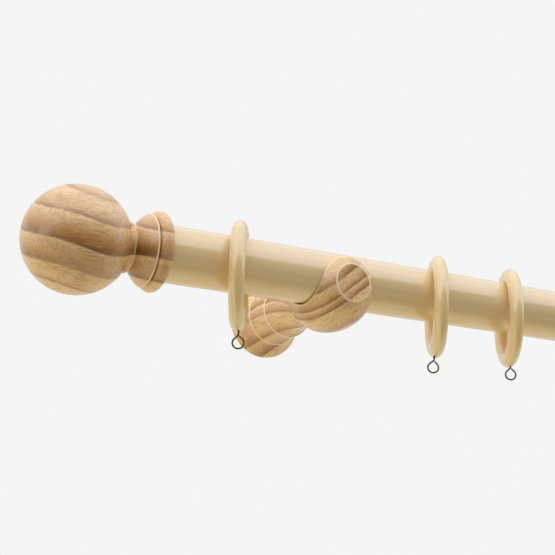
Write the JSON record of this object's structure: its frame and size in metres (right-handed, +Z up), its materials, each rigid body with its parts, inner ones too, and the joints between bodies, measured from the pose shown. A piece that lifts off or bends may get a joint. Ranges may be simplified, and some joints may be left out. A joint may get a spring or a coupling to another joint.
{
  "type": "curtain rod with brackets",
  "caption": "Wooden curtain pole with ball finials, carried in turned cradle brackets, with sliding wooden rings that each hold a wire screw eye for a curtain hook.",
  "frame": {"origin": "on the wall plane, midway between the two brackets, at the height of the brackets' axes", "axes": "+X along the pole to the right as seen from the room, +Y into the wall, +Z up; the part is at Y below 0"},
  "size_m": [1.3348, 0.1029, 0.0678],
  "materials": {
    "pine": "honey pine with brown growth bands under satin lacquer",
    "cream_lacquer": "smooth cream satin lacquer over wood",
    "antique_brass": "dark antique brass wire",
    "zinc_steel": "zinc plated"
  },
  "bodies": {
    "wall_brackets": {"bracket_left": "pine", "bracket_right": "pine", "wall_plate_left": "zinc_steel", "wall_plate_right": "zinc_steel", "grub_screw_left": "zinc_steel", "grub_screw_right": "zinc_steel"},
    "pole": {"pole": "cream_lacquer"},
    "dowel_screw_left": {"dowel_screw_left": "zinc_steel"},
    "finial_left": {"finial_left": "pine"},
    "dowel_screw_right": {"dowel_screw_right": "zinc_steel"},
    "finial_right": {"finial_right": "pine"},
    "ring_01": {"ring_01": "cream_lacquer", "ring_eye_01": "antique_brass"},
    "ring_02": {"ring_02": "cream_lacquer", "ring_eye_02": "antique_brass"},
    "ring_03": {"ring_03": "cream_lacquer", "ring_eye_03": "antique_brass"},
    "ring_04": {"ring_04": "cream_lacquer", "ring_eye_04": "antique_brass"},
    "ring_05": {"ring_05": "cream_lacquer", "ring_eye_05": "antique_brass"},
    "ring_06": {"ring_06": "cream_lacquer", "ring_eye_06": "antique_brass"},
    "ring_07": {"ring_07": "cream_lacquer", "ring_eye_07": "antique_brass"},
    "ring_08": {"ring_08": "cream_lacquer", "ring_eye_08": "antique_brass"},
    "ring_09": {"ring_09": "cream_lacquer", "ring_eye_09": "antique_brass"},
    "ring_10": {"ring_10": "cream_lacquer", "ring_eye_10": "antique_brass"},
    "ring_11": {"ring_11": "cream_lacquer", "ring_eye_11": "antique_brass"},
    "ring_12": {"ring_12": "cream_lacquer", "ring_eye_12": "antique_brass"}
  },
  "joints": [
    {"name": "pole_lift", "type": "slide", "parent": "wall_brackets", "child": "pole", "axis": [0, 0, 1], "range_m": [0, 0.06]},
    {"name": "finial_left_travel", "type": "slide", "parent": "pole", "child": "dowel_screw_left", "axis": [-1, 0, 0], "range_m": [0, 0.0251]},
    {"name": "finial_left_turn", "type": "hinge", "parent": "dowel_screw_left", "child": "finial_left", "pos_m": [-0.64, -0.077, 0.00566], "axis": [-1, 0, 0], "range_deg": [0, 3600]},
    {"name": "finial_right_travel", "type": "slide", "parent": "pole", "child": "dowel_screw_right", "axis": [1, 0, 0], "range_m": [0, 0.0251]},
    {"name": "finial_right_turn", "type": "hinge", "parent": "dowel_screw_right", "child": "finial_right", "pos_m": [0.64, -0.077, 0.00566], "axis": [1, 0, 0], "range_deg": [0, 3600]},
    {"name": "ring_01_slide", "type": "slide", "parent": "pole", "child": "ring_01", "axis": [1, 0, 0], "range_m": [-0.0255, 0.0173]},
    {"name": "ring_02_slide", "type": "slide", "parent": "pole", "child": "ring_02", "axis": [1, 0, 0], "range_m": [-0.0283, 0.0196]},
    {"name": "ring_03_slide", "type": "slide", "parent": "pole", "child": "ring_03", "axis": [1, 0, 0], "range_m": [-0.0196, 0.0497]},
    {"name": "ring_04_slide", "type": "slide", "parent": "pole", "child": "ring_04", "axis": [1, 0, 0], "range_m": [-0.0497, 0.0488]},
    {"name": "ring_05_slide", "type": "slide", "parent": "pole", "child": "ring_05", "axis": [1, 0, 0], "range_m": [-0.0488, 0.0496]},
    {"name": "ring_06_slide", "type": "slide", "parent": "pole", "child": "ring_06", "axis": [1, 0, 0], "range_m": [-0.0496, 0.0539]},
    {"name": "ring_07_slide", "type": "slide", "parent": "pole", "child": "ring_07", "axis": [1, 0, 0], "range_m": [-0.0539, 0.0499]},
    {"name": "ring_08_slide", "type": "slide", "parent": "pole", "child": "ring_08", "axis": [1, 0, 0], "range_m": [-0.0499, 0.0491]},
    {"name": "ring_09_slide", "type": "slide", "parent": "pole", "child": "ring_09", "axis": [1, 0, 0], "range_m": [-0.0491, 0.0497]},
    {"name": "ring_10_slide", "type": "slide", "parent": "pole", "child": "ring_10", "axis": [1, 0, 0], "range_m": [-0.0497, 0.0179]},
    {"name": "ring_11_slide", "type": "slide", "parent": "pole", "child": "ring_11", "axis": [1, 0, 0], "range_m": [-0.0179, 0.0324]},
    {"name": "ring_12_slide", "type": "slide", "parent": "pole", "child": "ring_12", "axis": [1, 0, 0], "range_m": [-0.018, 0.0273]}
  ],
  "couplings": [
    {"joint": "finial_left_travel", "follows": "finial_left_turn", "m_per_rad": 0.00039789},
    {"joint": "finial_right_travel", "follows": "finial_right_turn", "m_per_rad": 0.00039789}
  ]
}
